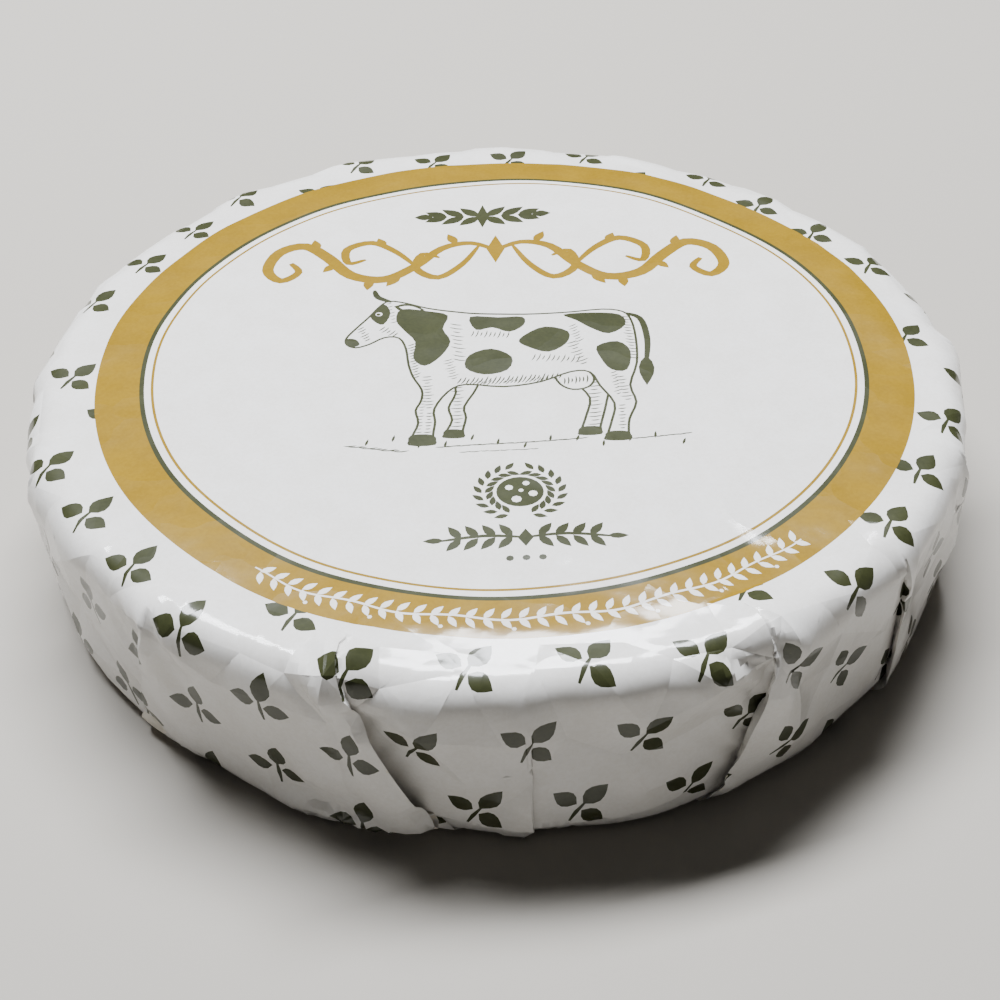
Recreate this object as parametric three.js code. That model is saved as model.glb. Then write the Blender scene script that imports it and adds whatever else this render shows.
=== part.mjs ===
// A soft-ripened cheese wheel in its paper wrapper.
//
// Units are millimetres and +Z is up. The origin is the middle of the underside,
// so the wrapped wheel stands on the plane Z = 0. The whole thing is round about Z.
//
// The wheel is one solid piece of cheese. The wrapper is one sheet of paper that lies
// over the top, comes down the side in pleats and is folded in under the wheel. Its
// pleats lie on each other, so the wrapper is modelled as a shell as thick as the
// folded paper. The folded edges leave a small opening at the middle of the underside.

import * as THREE from 'three';

// The wheel of cheese.
const WHEEL_DIAMETER = 200;
const WHEEL_HEIGHT = 37;
const TOP_RIM_ROUND = 9;
const BOTTOM_RIM_ROUND = 7;

// The wrapper: the build-up of folded paper, and the air left inside it.
const WRAP_THICKNESS = 1.2;
const WRAP_CLEARANCE = 0.3;
const UNDERSIDE_OPENING_DIAMETER = 16;

// How finely the round shapes are divided.
const STEPS_AROUND = 72;
const STEPS_PER_RIM = 5;

// A round rim can't be deeper than the room that the wheel's height and radius leave.
const roomForRims = Math.min(WHEEL_HEIGHT, WHEEL_DIAMETER / 2);
const rimScale = Math.min(1, roomForRims / (TOP_RIM_ROUND + BOTTOM_RIM_ROUND));

const wheelBottom = WRAP_THICKNESS + WRAP_CLEARANCE;

// One surface that follows the wheel at a distance: its radius, levels and rounded rims.
function surfaceAround(offset) {
  return {
    radius: WHEEL_DIAMETER / 2 + offset,
    bottom: wheelBottom - offset,
    top: wheelBottom + WHEEL_HEIGHT + offset,
    topRound: TOP_RIM_ROUND * rimScale + offset,
    bottomRound: BOTTOM_RIM_ROUND * rimScale + offset,
  };
}

// Points of a quarter circle in the plane of radius and height, from one angle to another.
function quarterArc(centreRadius, centreHeight, round, startAngle, endAngle) {
  const points = [];
  for (let step = 0; step <= STEPS_PER_RIM; step += 1) {
    const angle = startAngle + ((endAngle - startAngle) * step) / STEPS_PER_RIM;
    const radius = centreRadius + round * Math.cos(angle);
    points.push(new THREE.Vector2(radius, centreHeight + round * Math.sin(angle)));
  }
  return points;
}

// The profile of such a surface, from its underside at innerRadius, out and up round
// both rims, to the axis at the top.
function profileOf(surface, innerRadius) {
  const { radius, bottom, top, topRound, bottomRound } = surface;
  return [
    new THREE.Vector2(innerRadius, bottom),
    ...quarterArc(radius - bottomRound, bottom + bottomRound, bottomRound, -Math.PI / 2, 0),
    ...quarterArc(radius - topRound, top - topRound, topRound, 0, Math.PI / 2),
    new THREE.Vector2(0, top),
  ];
}

// Turns a profile about Z into a closed solid.
function turned(profile) {
  const geometry = new THREE.LatheGeometry(profile, STEPS_AROUND);
  geometry.rotateX(Math.PI / 2);
  return geometry;
}

function cheeseWheel() {
  const rind = new THREE.MeshStandardMaterial({ color: 0xf0e9d8, roughness: 0.9, metalness: 0 });
  const mesh = new THREE.Mesh(turned(profileOf(surfaceAround(0), 0)), rind);
  mesh.name = 'cheese_wheel';
  return mesh;
}

// The shell runs from the axis at the top, down its outside, in along its underside to
// the opening, and back up its inside to the axis.
function wrapper() {
  const openingRadius = UNDERSIDE_OPENING_DIAMETER / 2;
  const inside = profileOf(surfaceAround(WRAP_CLEARANCE), openingRadius);
  const outside = profileOf(surfaceAround(WRAP_CLEARANCE + WRAP_THICKNESS), openingRadius);
  const paper = new THREE.MeshStandardMaterial({ color: 0xe4e3df, roughness: 0.35, metalness: 0 });
  const mesh = new THREE.Mesh(turned([...inside.reverse(), ...outside]), paper);
  mesh.name = 'wrapper';
  return mesh;
}

const wrappedCheese = new THREE.Group();
wrappedCheese.add(cheeseWheel(), wrapper());

export default wrappedCheese;
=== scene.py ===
# %% [markdown]
# # A cheese wheel in its printed wrapping paper
#
# The real object has two pieces: a round, flat wheel of soft cheese with a white rind,
# and one round sheet of white paper that is laid over the wheel, brought down its side
# in pleats and folded in under it. The sheet is where nearly all of the look comes from,
# so most of this lesson is about one question: how can a flat sheet that doesn't stretch
# be folded round a wheel?
#
# The lesson works in millimetres, because that is how a maker thinks about paper and
# print. Each finished mesh is turned into metres, which is what the frame uses.

# %% Load the frame
import math

import bpy
import numpy as np
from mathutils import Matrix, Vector
from mathutils.geometry import delaunay_2d_cdt


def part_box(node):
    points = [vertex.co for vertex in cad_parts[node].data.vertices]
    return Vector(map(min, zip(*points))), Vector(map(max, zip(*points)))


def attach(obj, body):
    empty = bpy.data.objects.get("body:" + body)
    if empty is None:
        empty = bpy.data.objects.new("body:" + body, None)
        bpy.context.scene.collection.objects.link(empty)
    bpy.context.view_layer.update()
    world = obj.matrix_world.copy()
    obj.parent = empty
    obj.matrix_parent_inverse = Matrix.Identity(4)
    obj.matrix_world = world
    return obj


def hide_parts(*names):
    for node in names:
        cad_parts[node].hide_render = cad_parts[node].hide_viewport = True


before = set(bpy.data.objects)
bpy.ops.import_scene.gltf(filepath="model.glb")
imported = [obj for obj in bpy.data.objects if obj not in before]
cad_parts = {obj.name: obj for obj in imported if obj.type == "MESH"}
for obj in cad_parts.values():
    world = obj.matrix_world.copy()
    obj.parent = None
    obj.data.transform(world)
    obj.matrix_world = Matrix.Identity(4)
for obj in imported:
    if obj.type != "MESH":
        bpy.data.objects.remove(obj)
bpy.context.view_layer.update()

MM = 0.001
wheel_low, wheel_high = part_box("cheese_wheel")
wrap_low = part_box("wrapper")[0]
print("wheel (mm):", [round(v / MM, 1) for v in wheel_high - wheel_low])

# %% [markdown]
# ## The way down the wheel
#
# A straight crease-free strip of paper that starts at the middle of the top follows the
# wheel's outline: along the top, round the upper rim, down the wall, round the lower rim
# and in under the wheel. If we can turn "so many millimetres along the strip" into a
# radius and a height, we can place any point of the sheet. The outline is made of lines
# and quarter circles, so this is done with their lengths and not with a curve object.

# %% The wheel's outline as a path
SHRINK = 0.8       # mm off the radius, because the layers of folded paper add to the outline
WHEEL_RADIUS = wheel_high.x / MM - SHRINK
WHEEL_BOTTOM = wheel_low.z / MM
WHEEL_TOP = wheel_high.z / MM
AIR = 0.4          # mm between the paper and the cheese
TOP_TURN = 5.5     # mm: the stiff paper turns more sharply than the round rims under it
LOW_TURN = 3.0

S_RIM = WHEEL_RADIUS + AIR - TOP_TURN
S_WALL = S_RIM + TOP_TURN * math.pi / 2
S_LOW = S_WALL + (WHEEL_TOP - WHEEL_BOTTOM) + 2 * AIR - TOP_TURN - LOW_TURN
S_UNDER = S_LOW + LOW_TURN * math.pi / 2


def wheel_path(s):
    """Radius, height and the outward direction (radial, up) at s mm along the way down."""
    s = np.asarray(s, float)
    a = np.clip((s - S_RIM) / TOP_TURN, 0, math.pi / 2)
    b = np.clip((s - S_LOW) / LOW_TURN, 0, math.pi / 2)
    radius = np.minimum(s, S_RIM) + TOP_TURN * np.sin(a)
    height = WHEEL_TOP + AIR - TOP_TURN * (1 - np.cos(a)) - np.clip(s - S_WALL, 0, S_LOW - S_WALL)
    radius = radius - LOW_TURN * (1 - np.cos(b)) - np.maximum(s - S_UNDER, 0)
    height = height - LOW_TURN * np.sin(b)
    turn = a + b
    return radius, height, np.sin(turn), np.cos(turn)


print("rim starts at %.0f mm, wall at %.0f, underside at %.0f" % (S_RIM, S_WALL, S_UNDER))

# %% [markdown]
# ## The pleats
#
# A circle drawn on the sheet at 137 mm from its middle is 859 mm long, but the wheel's
# lower edge, where that circle ends up, is only 607 mm round. The spare 252 mm has to go
# somewhere: it goes into knife pleats, each a Z in the paper. Every pleat takes the spare
# length of its own share of the round.
#
# Each pleat is one line in a list: where its share starts, where the pleat stands at the
# rim and at the floor (degrees, seen from above, 270 is the front), which side lies on
# top (+1 when the left side covers the right), how far its free edge stands off the wall
# and how many millimetres after the rim it begins.

# %% The pleats of this wrapper
PLEATS = [
    (213, 231, 228, -1, 0.4, 10),
    (236, 253.5, 261.5, 1, 2.8, 6),
    (270.5, 272.6, 273.2, 1, 0.8, 22),
    (276, 298.5, 296, -1, 1.3, 6),
    (308, 318, 321, -1, 0.5, 7),
    (329, 339, 341, 1, 0.3, 8),
    (350, 2, 1, 1, 0.4, 6),
    (13, 26, 27, 1, 1.4, 8),
    (37, 49, 47, 1, 0.8, 5),
    (59, 71, 73, 1, 0.9, 7),
    (82, 93, 93, 1, 0.8, 8),
    (104, 115, 117, 1, 1.2, 5),
    (126, 136, 134, 1, 0.7, 7),
    (148, 160, 161, 1, 1.1, 6),
    (171, 182, 184, 1, 0.4, 8),
    (192, 203, 201, -1, 0.2, 6),
]
starts = np.unwrap(np.radians([p[0] for p in PLEATS]))
starts = np.append(starts, starts[0] + 2 * math.pi)
at_rim = starts[:-1] + np.radians([(p[1] - p[0]) % 360 for p in PLEATS])
at_floor = starts[:-1] + np.radians([(p[2] - p[0]) % 360 for p in PLEATS])
on_top = np.array([p[3] for p in PLEATS])
stand_off = np.array([p[4] for p in PLEATS])
first_s = S_RIM + np.array([p[5] for p in PLEATS])
shares = np.diff(starts)
print(len(PLEATS), "pleats; shares add up to %.0f degrees" % math.degrees(shares.sum()))

# %% [markdown]
# ## A net of points on the flat sheet
#
# The sheet is divided like a spider's web. Its rows are circles and its columns run from
# the middle to the edge. The columns beside a pleat follow its two fold lines, so that
# each fold falls on an edge of the mesh and stays sharp.

# %% The net on the flat sheet
SHEET_RADIUS = 225.0
CELL = math.radians(1.0)
STRIP_CELLS = 4
MIN_STRIP = 1.6     # mm, the width that a fold strip has where its pleat hasn't begun
TOP_ROWS = [40, 48, 56, 63, 69, 74, 78, 82, 85.5, 88.5, 91, 93.1]     # mm from the middle


def smooth(x):
    """0 below 0, 1 above 1, and an S-curve between."""
    x = np.clip(x, 0, 1)
    return x * x * (3 - 2 * x)


def polar(r, a):
    """Points at radius r and angle a, as x and y."""
    return np.stack([r * np.cos(a), r * np.sin(a)], axis=-1)


def unit(vectors):
    return vectors / np.maximum(np.linalg.norm(vectors, axis=-1, keepdims=True), 1e-9)


rows = np.concatenate([
    TOP_ROWS,
    np.arange(S_RIM, S_WALL - 0.3, 1.25),
    np.arange(S_WALL, S_LOW - 0.7, 1.85),
    np.arange(S_LOW, S_UNDER + 5, 1.2),
    np.arange(S_UNDER + 8, SHEET_RADIUS - 1, 3.8),
    [SHEET_RADIUS],
])[:, None]
radius, height, out_r, out_z = wheel_path(rows)

column_pleat, column_zone, column_part = [], [], []
for k, share in enumerate(shares):
    left = at_rim[k] - starts[k]
    for zone, width in enumerate((left, STRIP_CELLS * CELL, share - left)):
        cells = max(3, round(width / CELL))
        column_pleat += [k] * cells
        column_zone += [zone] * cells
        column_part += [i / cells for i in range(cells)]
of_pleat = np.array(column_pleat)
zone = np.array(column_zone)
part = np.array(column_part)
print("net of", len(rows), "rows and", len(zone), "columns")

# %% [markdown]
# ## Folding by arithmetic
#
# Along one circle of the sheet the paper runs forward round the wheel, turns back at the
# pleat's first fold, and turns forward again at its second. The strip between the folds
# is as wide as half the spare length. Where a pleat begins at the rim its strip isn't
# turned back yet: its slope goes from +1 (flat) through 0 (standing) to -1 (folded).

# %% Where each point of the net comes to lie
GROWTH = 12.0       # mm from a pleat's beginning to where it has taken up all the spare
hidden = shares * (1 - radius / rows) * smooth((rows - first_s) / GROWTH)
strip = np.maximum(hidden / 2, MIN_STRIP / rows)
slope = 1 - hidden / strip
squeeze = shares / (shares - hidden)

down = np.clip((rows - S_RIM) / (S_UNDER - S_RIM), 0, 1)
middle = at_rim * (1 - down) + at_floor * down - starts[:-1]
fold = (middle - slope * squeeze * strip / 2) / squeeze + strip / 2
last = np.argmin(abs(rows[:, 0] - S_UNDER))
fold[last:] = fold[last]
fold = np.clip(fold, strip / 2 + 0.02, shares - strip / 2 - 0.02)
first_fold, second_fold = fold - strip / 2, fold + strip / 2


def columns(values):
    """Repeats a value of each pleat for each of that pleat's columns."""
    return np.broadcast_to(values, (len(rows), len(PLEATS)))[:, of_pleat]


def by_zone(left, middle_strip, right):
    return np.where(zone == 0, left, np.where(zone == 1, middle_strip, right))


f1, f2, width = columns(first_fold), columns(second_fold), columns(shares)
sq, sl, st = columns(squeeze), columns(slope), columns(strip)
angle = by_zone(part * f1, f1 + part * st, f2 + part * (width - f2))
turn = by_zone(sq * angle, sq * (f1 + sl * part * st), width - sq * (width - angle))
flat_angle = columns(starts[:-1]) + angle
round_angle = columns(starts[:-1]) + turn

# %% [markdown]
# Under the wheel the panels between two pleats are flat pieces of paper, so there they
# keep their own shape: each is slid in over the underside as it is, and the strips join
# their sides. Points between the wall and the underside take a mixture of both places.

# %% The flaps under the wheel
def flap(from_angle, at):
    """Slides a flat panel in under the wheel, along the line at angle `at`."""
    along = wheel_path(S_UNDER)[0] - (rows * np.cos(from_angle) - S_UNDER)
    across = rows * np.sin(from_angle)
    return np.stack([along * np.cos(at) - across * np.sin(at),
                     along * np.sin(at) + across * np.cos(at)], axis=-1)


left_at, right_at = columns(starts[:-1]), columns(starts[1:])
left_flap, right_flap = flap(angle, left_at), flap(angle - width, right_at)
fold_left, fold_right = flap(f1, left_at), flap(f2 - width, right_at)
strip_flap = fold_left + (fold_right - fold_left) * part[:, None]
is_zone = zone[None, :, None]
flaps = np.where(is_zone == 0, left_flap, np.where(is_zone == 1, strip_flap, right_flap))

# %% [markdown]
# ## Layers
#
# Folded paper lies in layers. Every fold that lies on top is lifted, the fold under it
# stays down, and a panel rises from its low side to its high side. On the wall the free
# edge stands off a little, because laminated paper is springy.

# %% Lifting the layers apart
FLOOR_LIFT = 0.9     # mm between the lowest and the highest layer under the wheel
WALL_LIFT = 0.75
BELLY = 0.6          # how high a half-turned strip stands, as a share of its width
past_low_rim = smooth((rows - S_LOW) / (S_UNDER + 2 - S_LOW))
on_wall = smooth((rows - S_RIM - 4) / 18) * (1 - past_low_rim)
under = smooth((rows - S_LOW) / (S_UNDER + 8 - S_LOW))
rising = smooth((rows - first_s) / 10)
standing = BELLY * strip * rows * np.sqrt(np.clip(1 - slope ** 2, 0, 1))
closed = rising * (WALL_LIFT * (1 - under) + FLOOR_LIFT * under)
opened = closed + stand_off * on_wall * rising + standing

first_on_top = on_top > 0


def near_fold(wide):
    """0 far from a fold and 1 beside it, over a little more than the strip's width."""
    to_fold = np.where(zone == 0, (1 - part), part) * wide / st
    return 1 - smooth((to_fold - 1.3) / 2.2)


def lifted(high):
    """The lift of every point of the net, when the fold on top is lifted by `high`."""
    at_first, at_second = np.where(first_on_top, high, 0), np.where(first_on_top, 0, high)
    before = np.roll(at_second, 1, axis=1)       # the fold at the left of each panel
    left_share = ((starts[:-1] - np.roll(at_rim, 1)) % (2 * math.pi)) / (
        (at_rim - np.roll(at_rim, 1)) % (2 * math.pi))
    at_start = under * (before * (1 - left_share) + at_first * left_share)
    at_end = np.roll(at_start, -1, axis=1)
    a, b, c, d = (columns(v) for v in (at_start, at_first, at_second, at_end))
    rise = near_fold(f1) * (1 - under) + part * under
    fall = (1 - near_fold(width - f2)) * (1 - under) + part * under
    return by_zone(a + (b - a) * rise, b + (c - b) * part, c + (d - c) * fall)


layer, stand = lifted(closed), lifted(opened)

# %% The first guess at the folded sheet
in_round = polar(radius, round_angle)
plan = in_round * (1 - under[..., None]) + flaps * under[..., None]
plan_radius = np.linalg.norm(plan, axis=-1, keepdims=True)
outward = plan / np.maximum(plan_radius, 1e-6) * out_r[..., None]


# %% [markdown]
# Beside a pleat the paper is pulled straight, so the wrapped wheel isn't quite round but
# has soft corners at its pleats. A straight side stands off the round wheel by
# R / cos(angle) - R. The paper also starts with small random hills, most of them near the
# rim, which the settling turns into buckles.

# %% Corners and first creases
STRAIGHT = math.radians(9.5)     # how far from a pleat its straight sides reach
GATHERED = 11.0                  # mm beside a pleat where the paper was gathered by hand
RIM_HILLS, WALL_HILLS = 0.8, 0.45     # mm

lines = np.sort(at_rim % (2 * math.pi))
here = round_angle % (2 * math.pi)
after = np.searchsorted(lines, here) % len(lines)
left_gap = (here - lines[after - 1]) % (2 * math.pi)
right_gap = (lines[after] - here) % (2 * math.pi)
to_pleat = np.minimum(left_gap, right_gap)
half = np.minimum((left_gap + right_gap) / 2, STRAIGHT)
from_middle = np.maximum(half - to_pleat, 0)
corner = WHEEL_RADIUS / np.cos(from_middle) - WHEEL_RADIUS
corner = corner * smooth((rows - S_RIM + 6) / 11) * (1 - 0.35 * smooth((rows - S_WALL) / 30))
stand = stand + corner * (1 - under)


def ripples(size, seed):
    """Random hills and hollows over the net, about `size` mm across and about 1 high."""
    noise = np.random.default_rng(seed).standard_normal((len(rows), len(zone)))
    for axis, step in ((0, 2.2), (1, 1.8)):
        reach = max(1, round(size / 2 / step))
        for _ in range(3):
            near = [np.roll(noise, j, axis=axis) for j in range(-reach, reach + 1)]
            noise = np.mean(near, axis=0)
    return noise / noise.std()


at_pleat = np.exp(-(to_pleat * radius / GATHERED) ** 2)
rim_band = np.exp(-((rows - S_RIM - 8) / 9) ** 2)
crumple = ripples(8, 1) * (0.2 + 0.9 * at_pleat) * rim_band * RIM_HILLS
crumple += ripples(15, 2) * WALL_HILLS * smooth((rows - S_RIM) / 10) * (1 - under)
first = stand + np.abs(crumple)
sheet = np.concatenate([plan + outward * first[..., None],
                        (height + out_z * first)[..., None]], axis=-1)
flat = polar(rows, flat_angle)
print("lowest point %.2f mm, widest %.1f mm" % (sheet[..., 2].min(), plan_radius.max()))

# %% [markdown]
# ## Letting the paper settle
#
# The guess above has the right folds, but the paper in it is stretched in some places
# and squeezed in others. Real paper hardly stretches. So every edge of the net is moved
# back, many times over, towards its length on the flat sheet, while the wheel, the floor
# and the layers keep the paper out. Blender's Cloth could do this too, but it knows
# nothing of the order of the layers, and it would need slow self-collision to keep them.

# %% The settling
STEPS = 500
SOFT_SQUEEZE = 0.9     # paper gives way to squeezing, by buckling, sooner than to pulling
HOLD, PLEAT_HOLD = 0.05, 0.4     # how much of a gap to the wheel closes in each step


def lengths(points, step_r, step_c):
    """Vectors from each point of the net to the one that many rows and columns on."""
    moved = np.roll(points, -step_c, axis=1)
    return moved[step_r:] - points[:len(points) - step_r]


def settle_edges(points, step_r, step_c, rest, strength, squeeze_strength):
    d = lengths(points, step_r, step_c)
    now = np.linalg.norm(d, axis=-1)
    gap = now - rest
    give = np.where(gap > 0, strength, squeeze_strength) * 0.5
    move = d * (give * gap / np.maximum(now, 1e-6))[..., None]
    points[:len(points) - step_r] += move * 0.5
    points[step_r:] -= np.roll(move, step_c, axis=1) * 0.5


def away_from_wheel(points):
    """Distance of each point from the cheese, and the direction away from it."""
    r = np.linalg.norm(points[..., :2], axis=-1)
    mid = (WHEEL_TOP + WHEEL_BOTTOM) / 2
    up = np.where(points[..., 2] > mid, 1.0, -1.0)
    bend = np.where(up > 0, TOP_TURN, LOW_TURN) - AIR
    qr = r - (WHEEL_RADIUS - bend)
    qz = abs(points[..., 2] - mid) - ((WHEEL_TOP - WHEEL_BOTTOM) / 2 - bend)
    corner = np.hypot(np.maximum(qr, 0), np.maximum(qz, 0))
    distance = np.where((qr > 0) & (qz > 0), corner, np.maximum(qr, qz)) - bend
    both = (qr > 0) & (qz > 0)
    nr = np.where(both, qr / np.maximum(corner, 1e-9), (qr > qz).astype(float))
    nz = np.where(both, qz / np.maximum(corner, 1e-9), (qr <= qz).astype(float)) * up
    way = points[..., :2] / np.maximum(r, 1e-6)[..., None] * nr[..., None]
    return distance, np.concatenate([way, nz[..., None]], axis=-1)


# rows on, columns on and strength: the net's sides, its diagonals, and its stiffness
KINDS = [(0, 1, 1.0), (1, 0, 1.0), (1, 1, 0.8), (1, -1, 0.8), (2, 0, 0.12), (0, 2, 0.12)]
FLOOR = wrap_low.z / MM + 0.12     # mm: the lowest that the middle of the paper may be
rests = [np.linalg.norm(lengths(flat, r, c), axis=-1) for r, c, _ in KINDS]
closest = AIR * 0.6 + layer * 0.75
target = AIR + stand
first_rows = sheet[:2].copy()
fold_here = np.zeros(len(zone), bool)
fold_here[[i for i in range(len(zone)) if zone[i] != zone[i - 1]]] = True
no_fold = 1.0 - np.roll(fold_here, -1)[None]
beside_fold = near_fold(np.where(zone == 0, f1, width - f2))
under_fold = (zone == 2) == (columns(on_top[None]) > 0)
covered = np.where(zone == 1, 1.0, np.where(under_fold, beside_fold, 0))
hold = HOLD + PLEAT_HOLD * covered * (1 - under) * smooth((rows - S_WALL) / 6)

for step in range(STEPS):
    for (r, c, strength), rest in zip(KINDS, rests):
        soft = strength * (SOFT_SQUEEZE if r + abs(c) < 2 or r == 1 else 1)
        if (r, c) == (0, 2):
            strength = soft = strength * no_fold
        settle_edges(sheet, r, c, rest, strength, soft)
    distance, way = away_from_wheel(sheet)
    push = np.maximum(closest - distance, 0) - hold * np.maximum(distance - target, 0)
    sheet += way * push[..., None]
    sheet[..., 2] = np.maximum(sheet[..., 2], FLOOR + (FLOOR_LIFT - layer) * 0.5 * under)
    sheet[:2] = first_rows
strain = [np.linalg.norm(lengths(sheet, r, c), axis=-1) / rest - 1
          for (r, c, _), rest in zip(KINDS[:2], rests[:2])]
for name, s in zip(("round", "down"), strain):
    print("strain %s: middle half %.3f to %.3f, extremes %.2f to %.2f" % (
        name, *np.quantile(s, [0.25, 0.75]), s.min(), s.max()))

# %% [markdown]
# ## Hem and foot
#
# The wall doesn't end in one clean bend. Where the folded flaps push from below, the
# paper spreads out into a low foot on the floor, and at the front the wall hangs over that
# foot in a hem.

# %% The hem and the foot
HEM_LINE, HEM_OUT, FOOT_OUT = S_LOW - 3.0, 2.7, 0.9     # mm
HEM_MIDDLE, HEM_REACH = 277, 14     # degrees

front = np.exp(-((np.degrees(here) - HEM_MIDDLE) / HEM_REACH) ** 4)
hem = smooth((rows - S_WALL - 4) / (HEM_LINE - S_WALL - 4)) * (1 - smooth((rows - HEM_LINE) / 1.8))
foot = np.exp(-((rows - S_UNDER + 1.2) / 3.4) ** 2)
foot = foot * (0.5 + 2.0 * front + (0.3 + 0.9 * front) * ripples(14, 7))
sheet += away_from_wheel(sheet)[1] * (HEM_OUT * front * hem)[..., None]
plan_way = sheet[..., :2] / np.linalg.norm(sheet[..., :2], axis=-1, keepdims=True)
sheet[..., :2] += plan_way * (FOOT_OUT * foot * (1 - 0.5 * covered))[..., None]
sheet[..., 2] = np.maximum(sheet[..., 2], FLOOR)
print("widest %.1f mm" % np.linalg.norm(sheet[..., :2], axis=-1).max())

# %% [markdown]
# ## The print: shapes made of outlines
#
# The sheet is printed before it is folded, so the print belongs to the flat sheet. It
# could be painted as an image, but outlines stay sharp at any size. Each printed shape
# is a closed outline in millimetres, with the ink that fills it, and later shapes cover
# earlier ones, as in a drawing program. Three small tools draw everything: a smooth
# closed outline, a brush stroke that is thick in the middle, and a leaf.

# %% Drawing tools
PAPER, GOLD, OLIVE, BACK = 0, 1, 2, 3
printed = []        # (ink, outline), in the order in which they are painted


def paint(ink, outline):
    printed.append((ink, np.asarray(outline, float)))


def curve_through(points, per, closed):
    """A smooth (Catmull-Rom) curve through the points, with `per` steps between two."""
    p = np.asarray(points, float)
    p = np.concatenate([p[-1:], p, p[:2]]) if closed else np.concatenate([p[:1], p, p[-1:]])
    t = (np.arange(per) / per)[:, None, None]
    a, b, c, d = p[:-3], p[1:-2], p[2:-1], p[3:]
    line = 0.5 * (2 * b + (c - a) * t + (2 * a - 5 * b + 4 * c - d) * t ** 2
                  + (3 * b - a - 3 * c + d) * t ** 3)
    line = line.transpose(1, 0, 2).reshape(-1, 2)
    return line if closed else np.concatenate([line, p[-1:]])


def sideways(line, closed=False):
    """The direction square to the line at each of its points."""
    if closed:
        along = np.roll(line, -1, axis=0) - np.roll(line, 1, axis=0)
    else:
        along = np.gradient(line, axis=0)
    along /= np.maximum(np.linalg.norm(along, axis=1, keepdims=True), 1e-9)
    return np.stack([along[:, 1], -along[:, 0]], axis=1)


def stroke(points, thick, per=4, ends=0.15):
    """The outline of a brush stroke along a smooth curve, `thick` mm wide in its middle."""
    line = curve_through(points, per, False)
    t = np.linspace(0, 1, len(line))
    half = thick / 2 * (ends + (1 - ends) * np.sin(math.pi * t) ** 0.7)
    side = sideways(line) * half[:, None]
    return np.concatenate([line + side, (line - side)[::-1]])


def moved(shape, at=(0, 0), turn=0.0):
    c, s = math.cos(turn), math.sin(turn)
    return np.asarray(shape, float) @ np.array([[c, s], [-s, c]]) + np.asarray(at, float)


def leaf(at, turn, long, wide, steps=5):
    """A pointed leaf from its foot `at`, in the direction `turn`."""
    t = np.linspace(0, 1, steps + 1)
    half = wide / 2 * np.sin(math.pi * t ** 0.85)
    upper = np.stack([t * long, half], axis=1)
    lower = np.stack([t * long, -half], axis=1)[1:-1][::-1]
    return moved(np.concatenate([upper, lower]), at, turn)


def counter_clockwise(outline):
    x, y = outline.T
    return outline if np.sum(x * np.roll(y, -1) - np.roll(x, -1) * y) > 0 else outline[::-1]


def circle(r, corners, at=(0, 0)):
    return polar(r, np.arange(corners) * 2 * math.pi / corners) + np.asarray(at, float)


# %% [markdown]
# ### The all-over pattern
#
# A small sprig of three leaves repeats over the whole sheet in staggered rows, like
# bricks in a wall. The ring will be painted over it, so it is drawn first, everywhere
# outside the ring.

# %% Sprigs in staggered rows
PITCH_ACROSS, PITCH_UP, PATTERN_TURN = 20.1, 15.2, math.radians(3.3)
RING_OUT = 87.5
BORDER = 4.0        # mm of the sheet's edge that stays white
SPRIG_TURN = PATTERN_TURN + 0.75
STEM = stroke([(-4.9, -1.5), (-2.6, -0.6), (0.0, 0)], 0.9, 1, 0.5)
# each leaf's foot, direction, length and width
LEAVES = (((-0.5, 0.0), 0.05, 6.0, 3.9), ((-1.3, 0.8), 1.8, 5.2, 3.6), ((-1.7, -1.0), -1.4, 5.1, 3.6))


def sprig(at, turn, steps):
    paint(OLIVE, moved(STEM, at, turn))
    for foot, angle, long, wide in LEAVES:
        paint(OLIVE, leaf(moved([foot], at, turn)[0], angle + turn, long, wide, steps))


sprigs = 0
for j in range(-16, 17):
    for i in range(-13, 14):
        u, v = (i + 0.5 * ((j + 1) % 2)) * PITCH_ACROSS - 1.7, j * PITCH_UP - 1.4
        at = moved([(u, v)], turn=PATTERN_TURN)[0]
        if RING_OUT - 4 < np.hypot(*at) < SHEET_RADIUS - BORDER - 5:
            # the ones under the wheel are hardly seen, so they get fewer points
            sprig(at, SPRIG_TURN, 5 if np.hypot(*at) < S_UNDER + 8 else 3)
            sprigs += 1
print(sprigs, "sprigs")

# %% [markdown]
# ### The ring and the border inside it

# %% The ring
for ink, r in ((GOLD, RING_OUT), (OLIVE, 78.2), (PAPER, 77.2), (GOLD, 75.8), (PAPER, 75.2)):
    paint(ink, circle(r, 220))

# a white vine with leaves and berries along the lower part of the gold band
VINE_RADIUS, VINE_PITCH = 82.7, 3.1
vine_from, vine_to = math.radians(236), math.radians(311)
bends = np.linspace(vine_from, vine_to, 60)
stem = VINE_RADIUS + 0.45 * np.sin(bends * 27)
paint(PAPER, stroke(polar(stem, bends), 0.5, 2, 0.6))
count = round((vine_to - vine_from) * VINE_RADIUS / VINE_PITCH)
for i in range(count):
    a = vine_from + (vine_to - vine_from) * (i + 0.5) / count
    at = VINE_RADIUS * np.array([math.cos(a), math.sin(a)])
    for side in (1, -1):
        paint(PAPER, leaf(at, a + math.pi / 2 - 0.95 * side, 3.1, 1.35, 4))
    if i % 4 == 3:
        tip = at * (1 + 2.6 / VINE_RADIUS) + 2.2 * np.array([-math.sin(a), math.cos(a)])
        paint(PAPER, circle(0.45, 6, tip))
print(2 * count, "leaves on the band")

# %% [markdown]
# ### The ornaments
#
# Above the picture stand a dark spray of leaves and a long gold scroll, and below it a
# round badge and a branch. Each is drawn for one half and mirrored.

# %% Ornaments
def both_sides(ink, outline, centre):
    paint(ink, outline + np.asarray(centre, float))
    paint(ink, outline[::-1] * (-1, 1) + np.asarray(centre, float))


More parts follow.
